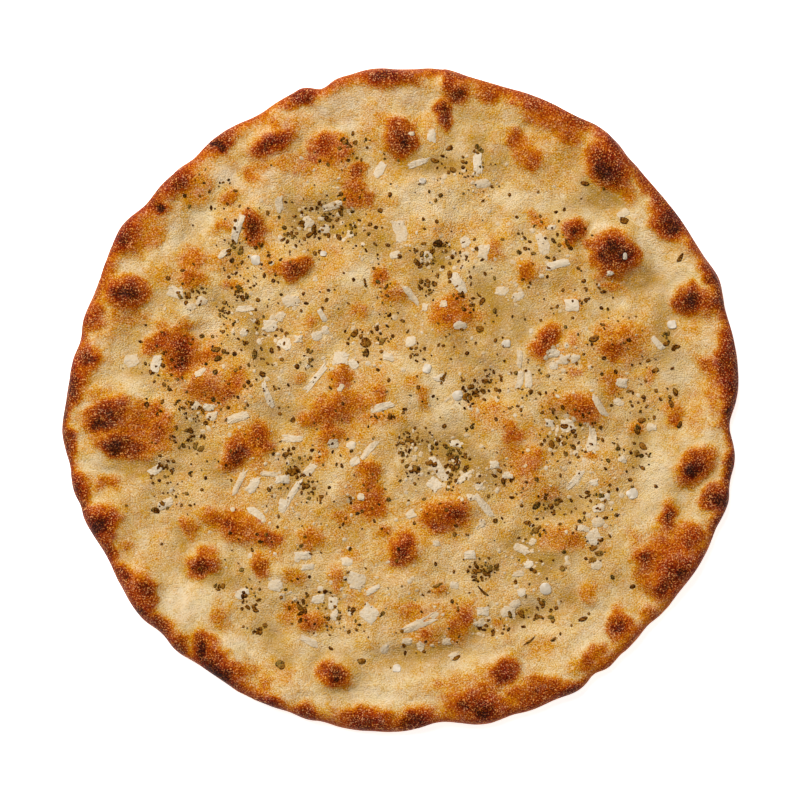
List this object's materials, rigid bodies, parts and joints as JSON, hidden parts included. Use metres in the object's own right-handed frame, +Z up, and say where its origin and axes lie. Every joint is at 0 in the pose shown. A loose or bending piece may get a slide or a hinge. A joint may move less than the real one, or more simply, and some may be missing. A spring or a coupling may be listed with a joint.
{
  "type": "round focaccia bread",
  "caption": "Thin round flatbread with a scalloped browned rim, dark blisters and finger dimples, topped with hard cheese shreds, dried herb and coarse salt.",
  "frame": {"origin": "on the underside, under the middle of the outline's bounding box", "axes": "+Z up through the thickness towards the baked face; +Y towards the top of the picture; +X to its right"},
  "size_m": [0.2996, 0.2941, 0.0134],
  "materials": {
    "crust": null,
    "cheese": null,
    "herb": null,
    "salt": "coarse salt crystal, cloudy white; a mineral, so stone stands in"
  },
  "bodies": {
    "root": {"focaccia": "crust"}
  },
  "joints": []
}
